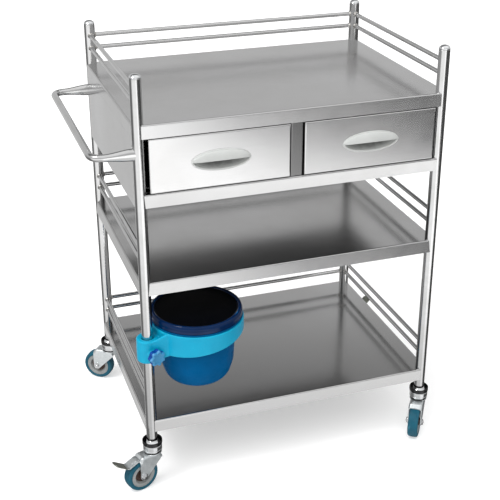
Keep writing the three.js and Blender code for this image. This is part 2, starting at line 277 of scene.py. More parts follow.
def add_node(tree, kind, settings=(), **inputs):
    """Adds a shader node. An input is given by its name, or by the letter i and its number."""
    made = tree.nodes.new("ShaderNode" + kind)
    for name, value in dict(settings).items():
        setattr(made, name, value)
    for name, value in inputs.items():
        socket = made.inputs[int(name[1:]) if name[1:].isdigit() else name]
        if isinstance(value, bpy.types.NodeSocket):
            tree.links.new(value, socket)
        else:
            socket.default_value = value
    return made


UNSTRETCHED = (1, 1, 1)


class Look:
    """A material of noise layers over the Principled shader."""

    def __init__(self, name, metallic=0.0, **constants):
        self.material = bpy.data.materials.new(name)
        self.material.use_nodes = True
        self.tree = self.material.node_tree
        self.shader = self.tree.nodes["Principled BSDF"]
        self.shader.inputs["Metallic"].default_value = metallic
        for socket, value in constants.items():
            self.shader.inputs[socket.replace("_", " ")].default_value = value
        self.place = self.tree.nodes.new("ShaderNodeTexCoord").outputs["Object"]
        self.bumped = None

    def node(self, kind, settings=(), **inputs):
        return add_node(self.tree, kind, settings, **inputs)

    def noise(self, scale, detail=3.0, stretch=UNSTRETCHED, rough=0.55):
        """Noise of a size in cycles a metre, stretched along the axes where the number is small."""
        mapped = self.node("Mapping", Vector=self.place, Scale=stretch)
        made = self.node("TexNoise", Vector=mapped.outputs[0], Scale=scale, Detail=detail, Roughness=rough)
        return made.outputs[0]

    def cells(self, scale):
        return self.node("TexVoronoi", Vector=self.place, Scale=scale).outputs["Color"]

    def between(self, value, low=0.0, high=1.0, start=0.3, end=0.7):
        """The value, from start to end, spread from low to high."""
        ranged = {"i0": value, "i1": start, "i2": end, "i3": low, "i4": high}
        return self.node("MapRange", **ranged).outputs[0]

    def mixed(self, factor, first, second):
        """Two colours mixed by a factor."""
        first, second = ((*value, 1.0) if isinstance(value, tuple) else value for value in (first, second))
        return self.node("Mix", {"data_type": "RGBA"}, i0=factor, i6=first, i7=second).outputs[2]

    def worn(self, low=0.52, high=0.62):
        """From 0 to 1 on outside edges, where hands and knocks rub a surface."""
        sharpness = self.node("NewGeometry").outputs["Pointiness"]
        return self.between(sharpness, 0.0, 1.0, low, high)

    def colour(self, value):
        self.tree.links.new(value, self.shader.inputs["Base Color"])
        return self

    def rough(self, value):
        self.tree.links.new(value, self.shader.inputs["Roughness"])
        return self

    def bump(self, height, strength, distance):
        """Adds a layer of relief; distance is its depth in metres."""
        made = self.node("Bump", Height=height, Strength=strength, Distance=distance)
        if self.bumped:
            self.tree.links.new(self.bumped, made.inputs["Normal"])
        self.bumped = made.outputs[0]
        self.tree.links.new(self.bumped, self.shader.inputs["Normal"])
        return self


ALONG_X = (0.012, 1, 1)
ALONG_Y = (1, 0.012, 1)
ALONG_Z = (1, 1, 0.012)


def shade(tone, *parts):
    """A colour near a grey tone."""
    return tuple(tone * part for part in parts)


def brushed(name, grain, tone=0.56, low=0.17, high=0.22):
    """Stainless sheet with a fine grain along one axis, faint smears and wiping marks."""
    look = Look(name, metallic=1.0)
    fine = look.noise(900, 2.0, grain)
    smear = look.noise(5, 4.0)
    spots = look.noise(38, 5.0, rough=0.7)
    polish = look.between(smear, low, high)
    clean, wiped = shade(tone, 1, 1, 1.005), shade(tone, 0.95, 0.945, 0.94)
    tint = look.mixed(look.between(smear), clean, wiped)
    look.colour(look.mixed(look.between(fine, 0.0, 0.07, 0.35, 0.65), tint, shade(tone, 0.7, 0.7, 0.7)))
    spotted = look.node("Math", {"operation": "ADD"}, i0=polish, i1=look.between(spots, -0.008, 0.012))
    look.rough(spotted.outputs[0])
    look.bump(fine, 0.015, 0.00004)
    look.bump(look.noise(3, 1.0), 0.08, 0.001)
    return look.material


def polished(name, grain, tone=0.60, low=0.10, high=0.17):
    """Stainless tube, polished along its length, with fingermarks."""
    look = Look(name, metallic=1.0)
    fine = look.noise(1400, 2.0, grain)
    marks = look.noise(26, 5.0, rough=0.65)
    look.colour(look.mixed(look.between(marks), shade(tone, 1, 1, 1.01), shade(tone, 0.9, 0.9, 0.89)))
    look.rough(look.between(marks, low, high))
    look.bump(fine, 0.06, 0.00004)
    return look.material


def chrome():
    look = Look("chrome", metallic=1.0)
    haze = look.noise(60, 4.0)
    look.colour(look.mixed(look.between(haze), (0.74, 0.75, 0.76), (0.64, 0.65, 0.66)))
    look.rough(look.between(haze, 0.05, 0.14))
    look.bump(look.noise(300, 3.0), 0.05, 0.00006)
    return look.material


def zinc():
    """Bright zinc plate: a faint blotchy crystal pattern, rubbed brighter on the edges."""
    look = Look("zinc_plate", metallic=1.0)
    crystal = look.cells(420)
    blotch = look.noise(90, 4.0, rough=0.6)
    dull = look.mixed(look.between(blotch), (0.62, 0.66, 0.67), (0.74, 0.77, 0.78))
    grey = look.node("RGBToBW", Color=crystal).outputs[0]
    flecks = look.mixed(look.between(grey, 0.0, 0.22), dull, (0.45, 0.48, 0.50))
    look.colour(look.mixed(look.worn(), flecks, (0.86, 0.88, 0.89)))
    look.rough(look.between(blotch, 0.34, 0.5))
    look.bump(grey, 0.10, 0.00008)
    look.bump(blotch, 0.15, 0.0003)
    return look.material


def mottled(name, metallic, pattern, light, dark, low, high, relief, edge=None):
    """A surface blotched by one noise, which sets its colour, its roughness and its relief."""
    look = Look(name, metallic=metallic)
    blotch = look.noise(*pattern)
    tint = look.mixed(look.between(blotch), light, dark)
    look.colour(look.mixed(look.worn(), tint, edge) if edge else tint)
    look.rough(look.between(blotch, low, high))
    look.bump(blotch, *relief)
    return look.material


def rubber():
    """Teal tyre rubber with a fine moulded skin, scuffs and a little floor dust."""
    look = Look("tyre_rubber", Specular_IOR_Level=0.2)
    skin = look.noise(1500, 2.0)
    scuff = look.noise(70, 5.0, rough=0.7)
    base = look.mixed(look.between(scuff), (0.004, 0.060, 0.095), (0.007, 0.085, 0.130))
    dust = look.between(look.noise(32, 6.0, rough=0.8), 0.0, 0.22, 0.5, 0.75)
    dusty = look.mixed(dust, base, (0.13, 0.18, 0.20))
    look.colour(look.mixed(look.worn(0.51, 0.60), dusty, (0.03, 0.15, 0.21)))
    look.rough(look.between(scuff, 0.38, 0.62))
    look.bump(skin, 0.25, 0.00012)
    look.bump(scuff, 0.2, 0.0003)
    return look.material


def plastic(name, light, dark, low=0.3, high=0.45, edge=None, skin=0.18, specular=0.5, scratches=0.06):
    """Moulded plastic: a fine spark-eroded skin, slow colour drift, rubbed edges and faint scratches."""
    look = Look(name, Specular_IOR_Level=specular)
    drift = look.noise(14, 3.0)
    fine = look.noise(1700, 2.0)
    scratch = look.noise(420, 2.0, (1, 0.05, 0.4))
    base = look.mixed(look.between(drift), light, dark)
    pale = tuple(0.5 * part + 0.3 for part in light)
    scratched = look.mixed(look.between(scratch, 0.0, scratches, 0.62, 0.72), base, pale)
    rubbed = edge or tuple(min(1.0, part * 1.3 + 0.01) for part in light)
    look.colour(look.mixed(look.worn(), scratched, rubbed))
    look.rough(look.between(look.noise(45, 4.0), low, high))
    look.bump(fine, skin, 0.00008)
    return look.material


def recess(name, rim, deep, top, bottom):
    """The inside of a moulded dish: painted shade darkens it from the rim, at one Y, to its bottom at
    another, for the shadow under the hood.
    """
    look = Look(name)
    depth = look.node("SeparateXYZ", Vector=look.place).outputs["Y"]
    patches = look.between(look.noise(120, 4.0), -0.12, 0.12)
    sunk = look.between(depth, 0.0, 1.0, top, bottom)
    # The share of painted shade: none at the rim, full at the dish's bottom, with random patches.
    painted_shade = look.node("Math", {"operation": "ADD", "use_clamp": True}, i0=sunk, i1=patches).outputs[0]
    look.colour(look.mixed(painted_shade, rim, deep))
    look.rough(look.between(look.noise(60, 4.0), 0.32, 0.5))
    look.bump(look.noise(1700, 2.0), 0.15, 0.00008)
    return look.material


SHEET_X = brushed("brushed_sheet_lengthwise", ALONG_X)
# The middle shelf is the same steel in a darker tone: painted shade under the top shelf.
SHEET_MIDDLE_SHADED = brushed("brushed_middle_shelf_painted_shade", ALONG_X, tone=0.51)
SHEET_BOTTOM = brushed("brushed_bottom_shelf", ALONG_X, low=0.13, high=0.17)
SHEET_Y = brushed("brushed_sheet_crosswise", ALONG_Y)
# The divider is the same steel at a dark tone: painted shade in the gap between the drawers.
SHEET_Z_SHADED = brushed("brushed_sheet_upright_painted_shade", ALONG_Z, tone=0.2)
# The sheets' inner faces: rougher unpolished steel, in a dark tone that is painted shade under the sheets.
SHEET_INSIDE_SHADED = brushed("unpolished_inside_painted_shade", ALONG_X, tone=0.25, low=0.38, high=0.5)
SHEET_DRAWER = brushed("brushed_drawer", ALONG_X, tone=0.60, low=0.15, high=0.19)
TUBE_Z = polished("polished_post", ALONG_Z)
TUBE_X = polished("polished_rail_lengthwise", ALONG_X)
TUBE_Y = polished("polished_rail_crosswise", ALONG_Y)
CHROME = chrome()
ZINC = zinc()
# The brake's tab is a darker copy of the zinc: painted dark reflection. The wheel's recess is dull brown,
# darkened by painted shade.
# The weld beads are rippled, with a faint straw heat tint.
TAB_ZINC_DARK_REFLECTION = mottled(
    "tab_zinc_painted_dark_reflection", 0.85, (120, 4.0), (0.13, 0.135, 0.115), (0.24, 0.25, 0.21), 0.28, 0.5, (0.2, 0.0002),
    edge=(0.5, 0.5, 0.46),
)
# The hub recess's near-black brown is painted shade in the recess.
HUB_SHADED = mottled(
    "hub_recess_painted_shade", 0.2, (160, 5.0, UNSTRETCHED, 0.7), (0.075, 0.035, 0.022), (0.022, 0.014, 0.012),
    0.45, 0.75, (0.3, 0.0003),
)
WELD = mottled("weld", 1.0, (500, 3.0), (0.62, 0.60, 0.56), (0.42, 0.41, 0.40), 0.25, 0.45, (0.5, 0.0004))
RUBBER = rubber()
# The rim's grey is set darker, part way, as painted shade for the wheels in the cart's shadow.
RIM_GREY = plastic("rim_plastic", (0.25, 0.26, 0.26), (0.19, 0.20, 0.20), 0.4, 0.6)
# Black plastic for the dust rings; on the bearing race its black is painted shade for the gap between cup
# and crown.
BLACK = plastic(
    "black_plastic_and_gap_shade", (0.003, 0.004, 0.004), (0.006, 0.006, 0.007), 0.12, 0.2, (0.02, 0.02, 0.02)
)
PULL_PALE = plastic("pull_plastic", (0.46, 0.47, 0.46), (0.40, 0.41, 0.40), 0.32, 0.45, (0.62, 0.65, 0.63))
NYLON = plastic("white_nylon", (0.68, 0.68, 0.66), (0.56, 0.56, 0.54), 0.35, 0.5)
CYAN = plastic(
    "ring_plastic", (0.001, 0.31, 0.48), (0.001, 0.25, 0.41), 0.3, 0.42, (0.01, 0.42, 0.60), specular=0.2
)
BUCKET_BLUE = plastic(
    "bucket_plastic", (0.0002, 0.078, 0.21), (0.0002, 0.058, 0.16), 0.22, 0.34, (0.002, 0.12, 0.34),
    specular=0.02, scratches=0.012,
)
RIM_NAVY = plastic(
    "lid_rim", (0.0002, 0.014, 0.06), (0.0002, 0.010, 0.045), 0.08, 0.14, (0.002, 0.08, 0.22),
    specular=0.2, scratches=0.01,
)
LID_BLACK = plastic(
    "lid_plastic", (0.0006, 0.0008, 0.002), (0.0004, 0.0006, 0.0012), 0.3, 0.42, (0.002, 0.004, 0.01),
    specular=0.08, scratches=0.012,
)
# The knob's face is a lighter copy of the knob's blue: painted highlight.
KNOB_FACE_HIGHLIGHT = plastic("knob_face_painted_highlight", (0.025, 0.21, 0.40), (0.02, 0.17, 0.34), 0.35, 0.5, (0.09, 0.30, 0.60))
KNOB_DARK = plastic(
    "knob_body", (0.001, 0.045, 0.24), (0.001, 0.034, 0.19), 0.3, 0.45, specular=0.15, scratches=0.02
)

# ---------- posts and rails ----------

CAP = {"seam": 0.5 * MM, "plug": 8 * MM, "inset": 0.3 * MM, "steps": 12}
TUBE_SIDES = 64


def make_post(corner):
    low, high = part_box("post_" + corner)
    place = Matrix.Translation((POSTS[corner].x, POSTS[corner].y, 0))
    inner = POST_RADIUS - SHEET
    tube = [(inner, low.z), (POST_RADIUS, low.z), (POST_RADIUS, high.z), (inner, high.z)]
    build = Build().turned(ring_path(tube, 0.5 * MM, 3), TUBE_SIDES).placed(place)
    piece(f"post_{corner}.tube", build, TUBE_Z, CART, "stainless_tube", ["post_" + corner])

    cap_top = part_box("post_cap_" + corner)[1].z
    base = high.z + CAP["seam"]
    plug = base - CAP["plug"]
    dome = [(0, plug), (inner, plug), (inner, base), (POST_RADIUS - CAP["inset"], base)]
    for step in range(1, CAP["steps"] + 1):
        angle = math.pi / 2 * step / CAP["steps"]
        dome.append((POST_RADIUS * math.cos(angle), base + (cap_top - base) * math.sin(angle)))
    build = Build().turned(dome, TUBE_SIDES).placed(place)
    piece(f"post_cap_{corner}.dome", build, CHROME, CART, "polished_steel", ["post_cap_" + corner])


BEAD = ((2.0, -0.4), (1.7, 0.5), (1.0, 1.2), (0.35, 2.0), (-0.2, 2.6))  # mm out from the bar, mm along it
RIPPLE = {"height": 0.12 * MM, "count": 9}
BEAD_SIDES = 40
RAIL_INTO_POST = 2 * MM


def bead(build, centre, axis, radius):
    """A rippled fillet of weld round a bar where it meets the post at a centre."""
    turn = axis.to_track_quat("Z", "Y").to_matrix()
    start, end = BEAD[0][1], BEAD[-1][1]
    rings = []
    for out, along in BEAD:
        follows_post = 1 - (along - start) / (end - start)
        ring = []
        for i, (c, s) in enumerate(circle(BEAD_SIDES)):
            ripple = RIPPLE["height"] * math.sin(2 * math.pi * RIPPLE["count"] * i / BEAD_SIDES)
            grown = radius + out * MM + ripple
            post_gap = POST_RADIUS - math.sqrt(max(POST_RADIUS**2 - (grown * c) ** 2, 0))
            place = POST_RADIUS - post_gap * follows_post + along * MM
            ring.append(centre + turn @ Vector((grown * c, grown * s, place)))
        rings.append(ring)
    build.loft(rings)


def make_rails():
    beads = Build()
    for level in LEVELS:
        for which in ("upper", "lower"):
            for side in ("left", "right", "back"):
                node = f"rail_{level}_{which}_{side}"
                centre, half = middle(node), half_size(node)
                lengthwise = side == "back"
                radius = max(half.z, half.y if lengthwise else half.x)
                axis = Vector((1, 0, 0)) if lengthwise else Vector((0, 1, 0))
                length = (half.x if lengthwise else half.y) + RAIL_INTO_POST
                turn = axis.to_track_quat("Z", "Y").to_matrix()
                rings = []
                for place in (-length, -length / 3, length / 3, length):
                    section = [(radius * c, radius * s, place) for c, s in circle(28)]
                    rings.append([centre + turn @ Vector(point) for point in section])
                tube = Build().loft(rings, caps=True)
                metal = TUBE_X if lengthwise else TUBE_Y
                piece(node + ".bar", tube, metal, CART, "stainless_tube", [node], sharp=60)
                for end in (-1, 1):
                    post = centre + axis * end * (length - RAIL_INTO_POST + POST_CLEARANCE + POST_RADIUS)
                    bead(beads, post, -axis * end, radius)
    piece("rail_welds", beads, WELD, CART, "stainless_tube", sharp=180)


# ---------- push handle ----------

HANDLE_RADIUS = 7.8 * MM
HANDLE_BEND = 28 * MM
ARM_ROOT = {"length": 58 * MM, "half_height": 13.5 * MM, "half_width": 10 * MM}
ROOT_INTO_POST = 6 * MM
HANDLE_STEPS = {"arm": 26, "bend": 16, "grip": 12}


def handle_path():
    low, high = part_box("push_handle")
    height = (low.z + high.z) / 2
    grip = low.x + HANDLE_RADIUS
    start = POSTS["back_left"].x - POST_RADIUS + ROOT_INTO_POST
    back, front = POSTS["back_left"].y, POSTS["front_left"].y
    corner_back = Vector((grip, back, height))
    corner_front = Vector((grip, front, height))
    to_post = Vector((1, 0, 0)) * HANDLE_BEND
    to_front = Vector((0, -1, 0)) * HANDLE_BEND

    def straight(a, b, count):
        return [a.lerp(b, i / count) for i in range(count)]

    def bend(a, corner, b):
        ts = [i / HANDLE_STEPS["bend"] for i in range(HANDLE_STEPS["bend"])]
        return [a * (1 - t) ** 2 + corner * 2 * t * (1 - t) + b * t**2 for t in ts]

    ends = [Vector((start, back, height)), Vector((start, front, height))]
    return [
        *straight(ends[0], corner_back + to_post, HANDLE_STEPS["arm"]),
        *bend(corner_back + to_post, corner_back, corner_back + to_front),
        *straight(corner_back + to_front, corner_front - to_front, HANDLE_STEPS["grip"]),
        *bend(corner_front - to_front, corner_front, corner_front + to_post),
        *straight(corner_front + to_post, ends[1], HANDLE_STEPS["arm"]),
        ends[1],
    ]


def make_handle():
    path = handle_path()
    root_x = POSTS["back_left"].x - POST_RADIUS
    rings = []
    for i, point in enumerate(path):
        ahead = path[min(i + 1, len(path) - 1)] - path[max(i - 1, 0)]
        across = ahead.normalized().cross(Vector((0, 0, 1)))
        spread = 1 - smooth_step((root_x - point.x) / ARM_ROOT["length"])
        tall = HANDLE_RADIUS + (ARM_ROOT["half_height"] - HANDLE_RADIUS) * spread
        wide = HANDLE_RADIUS + (ARM_ROOT["half_width"] - HANDLE_RADIUS) * spread
        rings.append([point + across * wide * c + Vector((0, 0, tall * s)) for c, s in circle(32)])
    tube = Build().loft(rings, caps=True)
    piece("push_handle.tube", tube, TUBE_Y, CART, "stainless_tube", ["push_handle"], sharp=60)


# ---------- shelves and drawer bay ----------

BEND = 3.2 * MM  # outside radius of a folded edge
BEND_STEPS = 6
FLAT_MARGIN = 0.6 * MM
FOLD_LEAN = {"top": 0.0, "middle": 1.9 * MM, "bottom": 0.0, "bay": -1.3 * MM}
# The middle shelf's darker steel is painted shade.
SHELF_METAL = {"top": SHEET_X, "middle": SHEET_MIDDLE_SHADED, "bottom": SHEET_BOTTOM}
NOTCH = POST_RADIUS + POST_CLEARANCE
NOTCH_STEPS = 10

# Each side of a sheet: outward direction, direction along it, and the posts at its start and end.
SHEET_SIDES = (
    (Vector((0, -1)), Vector((1, 0)), "front_left", "front_right"),
    (Vector((1, 0)), Vector((0, 1)), "front_right", "back_right"),
    (Vector((0, 1)), Vector((-1, 0)), "back_right", "back_left"),
    (Vector((-1, 0)), Vector((0, -1)), "back_left", "front_left"),
)


def fold_rows(top, bottom, lean):
    """Rows across one folded edge of the middle of the sheet: (how far in from the outer face, height).

    The fold is not quite square: its top is further in than its lower edge by the lean.
    """
    half = SHEET / 2
    radius = BEND - half
    rows = [(BEND + FLAT_MARGIN, top - half), (BEND, top - half)]
    for step in range(1, BEND_STEPS + 1):
        angle = math.pi / 2 * step / BEND_STEPS
        rows.append((BEND - radius * math.sin(angle), top - BEND + radius * math.cos(angle)))
    rows.append((half, top - BEND - FLAT_MARGIN))
    rows.append((half, bottom))
    height = rows[-2][1] - bottom
    at_top, at_bottom = max(lean, 0.0), max(-lean, 0.0)
    leaned = []
    for distance, z in rows:
        share = min(max((z - bottom) / height, 0.0), 1.0)
        leaned.append((distance + at_bottom + (at_top - at_bottom) * share, z))
    return leaned


def notch(post, out, along, place):
    """Where a row of the sheet meets a post's notch: the notch's middle along the side and half its length.

    The row's place is its distance out from the origin. None if the row passes the notch by.
    """
    away = place - post.dot(out)
    if abs(away) >= NOTCH:
        return None
    return post.dot(along), math.sqrt(NOTCH**2 - away**2)


def notch_arc(post, start, end, height):
    """The sheet's edge round a post, between two points of its outline."""
    a = math.atan2(*(start - post).yx)
    b = math.atan2(*(end - post).yx)
    if b > a:
        b -= 2 * math.pi
    arc = []
    for step in range(1, NOTCH_STEPS):
        angle = a + (b - a) * step / NOTCH_STEPS
        arc.append((*(post + Vector((math.cos(angle), math.sin(angle))) * NOTCH), height))
    return arc


def folded_sheet(node, name, metal, lean=0.0):
    """A sheet with its four edges folded down, notched round the posts that reach into it."""
    low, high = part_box(node)
    rows = fold_rows(high.z, low.z, lean)
    inset, flat = rows[0]
    build = Build()
    outline = []

    def reach(direction):
        """How far the sheet goes in a direction from the frame's origin."""
        return max(low.xy.dot(direction), high.xy.dot(direction))

    for out, along, first, last in SHEET_SIDES:
        face = reach(out)
        ends = []
        for post, sign in ((POSTS[first].xy, -1), (POSTS[last].xy, 1)):
            plain = sign * (reach(along * sign) - inset)
            found = [notch(post, out, along, face - row[0]) for row in rows]
            # The sheet ends at the notch, or at its own corner where that comes first.
            stops = [plain if spot is None else spot[0] - sign * spot[1] for spot in found]
            ends.append([sign * min(sign * stop, sign * plain) for stop in stops])
        strip = []
        for (distance, z), start, end in zip(rows, *ends):
            base = out * (face - distance)
            strip.append([(*(base + along * start), z), (*(base + along * end), z)])
        build.loft(strip, closed=False)
        outline.extend(strip[0])
        # The sheet's inner corner at the post that ends this side.
        post, next_face = POSTS[last].xy, reach(along) - inset
        spot = notch(post, along, -out, next_face)
        if spot is not None and notch(post, out, along, face - inset) is not None:
            end_point = along * next_face - out * (spot[0] + spot[1])
            outline.extend(notch_arc(post, Vector(strip[0][1][:2]), end_point, flat))
    build.flat(outline)
    return piece(name, build, metal, CART, "stainless_sheet", [node], wall=SHEET, inside=SHEET_INSIDE_SHADED)


def make_shelves():
    for level in LEVELS:
        folded_sheet(level + "_shelf", level + "_shelf.sheet", SHELF_METAL[level], FOLD_LEAN[level])


BAY = {"panel_past_post": 5.5 * MM, "edge": 0.4 * MM}


def make_bay():
    folded_sheet("drawer_bay_floor", "drawer_bay_floor.sheet", SHEET_X, FOLD_LEAN["bay"])
    low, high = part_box("drawer_bay_shell")
    front = POSTS["front_left"].y + BAY["panel_past_post"]
    back = POSTS["back_left"].y - BAY["panel_past_post"]
    for side, x0, x1 in (("left", low.x, low.x + SHEET), ("right", high.x - SHEET, high.x)):
        panel = Build().box((x0, front, low.z), (x1, back, high.z))
        piece(f"drawer_bay_{side}_panel", panel, SHEET_Y, CART, "stainless_sheet", bevel=BAY["edge"])
    panel = Build().box((low.x + SHEET, high.y - SHEET, low.z), (high.x - SHEET, high.y, high.z))
    stands_for = ["drawer_bay_shell"]
    piece("drawer_bay_back_panel", panel, SHEET_X, CART, "stainless_sheet", stands_for, bevel=BAY["edge"])


DIVIDER = {"ledge": 12 * MM, "corner": 2.4 * MM, "edge": 0.25 * MM}
LEDGE = {"thick": 3 * MM, "reach": 38 * MM, "from_front": 26 * MM, "above_floor": 4 * MM}
GLIDE = {"inset": 8 * MM, "forward": 1 * MM, "above_ledge": 9 * MM}


def make_divider():
    """A channel open to the back, with the ledges that carry the drawers."""
    low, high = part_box("drawer_divider")
    half = (high.x - low.x) / 2 - DIVIDER["ledge"]
    centre = (high.x + low.x) / 2
    wall = SHEET / 2
    left, right = centre - half + wall, centre + half - wall
    line = [(left, high.y), (left, low.y + wall), (right, low.y + wall), (right, high.y)]
    line = rounded(line, DIVIDER["corner"], 5)
    build = Build().loft([[(x, y, z) for x, y in line] for z in (low.z, high.z)], closed=False)
    # The divider's dark steel is painted shade in the gap between the drawers.
    piece(
        "drawer_divider.channel", build, SHEET_Z_SHADED, CART, "stainless_sheet", ["drawer_divider"],
        wall=SHEET, bevel=DIVIDER["edge"],
    )

    shell_low, shell_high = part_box("drawer_bay_shell")
    front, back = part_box("drawer_bay_floor")[0].y + LEDGE["from_front"], high.y
    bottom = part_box("drawer_bay_floor")[1].z + LEDGE["above_floor"]
    spans = [
        (shell_low.x + SHEET, shell_low.x + LEDGE["reach"]),
        (low.x, centre - half),
        (centre + half, high.x),
        (shell_high.x - LEDGE["reach"], shell_high.x - SHEET),
    ]
    ledges = Build()
    for x0, x1 in spans:
        ledges.box((x0, front, bottom), (x1, back, bottom + LEDGE["thick"]))
    piece("drawer_ledges", ledges, SHEET_Y, CART, "stainless_sheet", bevel=0.5 * MM)

    glides = Build()
    roller = Build().turned(scaled([(0, -5), (5, -5), (6, -4), (6, 4), (5, 5), (0, 5)]), 28, "Y")
    for x in (spans[0][0] + GLIDE["inset"], spans[-1][1] - GLIDE["inset"]):
        spot = (x, front - GLIDE["forward"], bottom + GLIDE["above_ledge"])
        merge(glides, roller, Matrix.Translation(spot))
    piece("drawer_glides", glides, NYLON, CART, "pull_plastic")


# ---------- drawers ----------

FRONT = {"thick": 14 * MM, "edge": 2.4 * MM, "edge_steps": 6, "flange": 7 * MM}
HOLE_EDGE = ((0, 7), (0, 0.6), (0.6, 0), (1.2, 0))  # mm out from the pull's hole, mm behind the face
TRAY = {
    "side": 6.5 * MM, "into_front": 1 * MM, "foot": 6 * MM, "below_top": 18.5 * MM, "wall": 1.2 * MM,
    "corner": 2.5 * MM,
}
# The pull's dish goes from its light colour at the rim to a near-black painted shade at its bottom.
PULL = {
    "hole_gap": 2.5 * MM, "unshaded_to": 2.5 * MM, "points": 72, "dish_inset": 5.4 * MM, "depth": 12.5 * MM,
    "steps": 12, "light": (0.46, 0.47, 0.46), "painted_shade": (0.03, 0.033, 0.03),
}
BEZEL = ((0, -0.1), (0.1, -1.3), (0.9, -2.2), (2.2, -2.4), (3.8, -2.2), (4.8, -1.1), (5.2, 0.4))
HOOD = {"lip": 1.6 * MM, "short": 2.5 * MM, "inset": 2.6 * MM, "off": 1 * MM, "across": 40, "up": 14}


def oval(half_x, half_z, count=64):
    """An oval in the XZ plane."""
    return [(half_x * c, half_z * s) for c, s in circle(count)]


def rectangle(half_x, half_z, count=64):
    """A rectangle in the XZ plane, with as many points as the oval in it and one of them on each corner."""
    corners = [(x, z) for x in (half_x, -half_x) for z in (half_z, -half_z)]
    points = []
    for c, s in circle(count):
        far = min(half_x / max(abs(c), TINY), half_z / max(abs(s), TINY))
        gap, corner = min((abs(math.atan2(s, c) - math.atan2(z, x)), (x, z)) for x, z in corners)
        points.append(corner if gap < math.pi / count else (c * far, s * far))
    return points


def make_drawer(side):
    node, body = "drawer_" + side, side + "_drawer"
    low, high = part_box(node)
    pull_low, pull_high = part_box("drawer_pull_" + side)
    centre, half_pull = (pull_low + pull_high) / 2, (pull_high - pull_low) / 2
    make_front(node, body, low, high, centre, half_pull)
    tray_low = (low.x + TRAY["side"], low.y + FRONT["thick"] - TRAY["into_front"], low.z + TRAY["foot"])
    tray_high = (high.x - TRAY["side"], high.y, high.z - TRAY["below_top"])
    make_tray(node, body, Vector(tray_low), Vector(tray_high))
    make_pull(side, centre, half_pull, low.y, body)


def make_front(node, body, low, high, pull, half_pull):
    """The drawer's front: from the oval hole for its pull, over its rounded edge, to the flange behind."""
    half_x, half_z = (high.x - low.x) / 2, (high.z - low.z) / 2
    hole_x, hole_z = half_pull.x - PULL["hole_gap"], half_pull.z - PULL["hole_gap"]
    edge, thick, flange = FRONT["edge"], FRONT["thick"], FRONT["flange"]
    shapes = [(oval(hole_x + out * MM, hole_z + out * MM), behind * MM) for out, behind in HOLE_EDGE]
    rows = [(edge + 0.5 * MM, 0)]
    for step in range(FRONT["edge_steps"] + 1):
        angle = math.pi / 2 * step / FRONT["edge_steps"]
        rows.append((edge * (1 - math.sin(angle)), edge * (1 - math.cos(angle))))
    rows.extend([(0, edge + 0.6 * MM), (0, thick), (flange, thick)])
    shapes.extend((rectangle(half_x - inset, half_z - inset), behind) for inset, behind in rows)
    rings = [[(pull.x + x, low.y + behind, pull.z + z) for x, z in shape] for shape, behind in shapes]
    piece(node + ".front", Build().loft(rings), SHEET_DRAWER, body, "stainless_sheet", [node], sharp=50)


def make_tray(node, body, low, high):
    """The open tray: from its foot up the outside, over its top edge and down the inside."""
    centre, half = (low + high) / 2, (high - low) / 2
    wall = TRAY["wall"]
    section = [
        (1.5 * MM, low.z), (0.4 * MM, low.z + 0.4 * MM), (0, low.z + 1.5 * MM), (0, high.z),
        (wall, high.z), (wall, low.z + 2.5 * MM), (wall + 1 * MM, low.z + wall),
    ]
    rings = []
    for inset, z in section:
        x, y = half.x - inset, half.y - inset
        plan = rounded([(-x, -y), (x, -y), (x, y), (-x, y)], TRAY["corner"], 3, closed=True)
        rings.append([(centre.x + across, centre.y + along, z) for across, along in plan])
    piece(node + ".tray", Build().loft(rings, caps=True), SHEET_Y, body, "stainless_sheet")


def make_pull(side, centre, half, face, body):
    """A moulded oval: a rounded bezel, a dish let into the drawer, and a hood over its upper half."""
    name = "drawer_pull_" + side
    a, b = half.x, half.z
    rings = []
    for inset, out in BEZEL:
        shape = oval(a - inset * MM, b - inset * MM, PULL["points"])
        rings.append([(centre.x + x, face + out * MM, centre.z + z) for x, z in shape])
    dish_a, dish_b = a - PULL["dish_inset"], b - PULL["dish_inset"]
    shape = oval(dish_a, dish_b, PULL["points"])
    for step in range(1, PULL["steps"] + 1):
        size = 1 - step / PULL["steps"]
        sunk = 0.6 * MM + PULL["depth"] * (1 - size**2.2) ** 0.7
        rise = dish_b * 0.25 * (1 - size)
        rings.append([(centre.x + x * size, face + sunk, centre.z + z * size + rise) for x, z in shape])
    # The dish darkens with depth: painted shade under the hood.
    rim_at, deep_at = face + PULL["unshaded_to"], face + PULL["depth"]
    material = recess("pull_recess_" + side, PULL["light"], PULL["painted_shade"], rim_at, deep_at)
    piece(name + ".dish", Build().loft(rings), material, body, "pull_plastic", [name], sharp=70)

    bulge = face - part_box(name)[0].y - HOOD["short"]
    hood_a, hood_b = a - HOOD["inset"], b - HOOD["inset"]
    grid = []
    for row in range(HOOD["up"] + 1):
        t = row / HOOD["up"]
        line = []
        for column in range(HOOD["across"] + 1):
            s = -math.cos(math.pi * column / HOOD["across"])
            top = hood_b * math.sqrt(max(0.0, 1 - s * s))
            z = HOOD["lip"] * (1 - s * s) * (1 - t) + t * top
            out = math.sqrt(max(0.0, 1 - s * s - (max(z, 0) / hood_b) ** 2))
            line.append((centre.x + hood_a * s, face - HOOD["off"] - bulge * out**0.9, centre.z + z))
        grid.append(line)
    hood = Build().loft(grid, closed=False)
    piece(name + ".hood", hood, PULL_PALE, body, "pull_plastic", wall=1.4 * MM, bevel=0.4 * MM, sharp=60)


# ---------- casters ----------

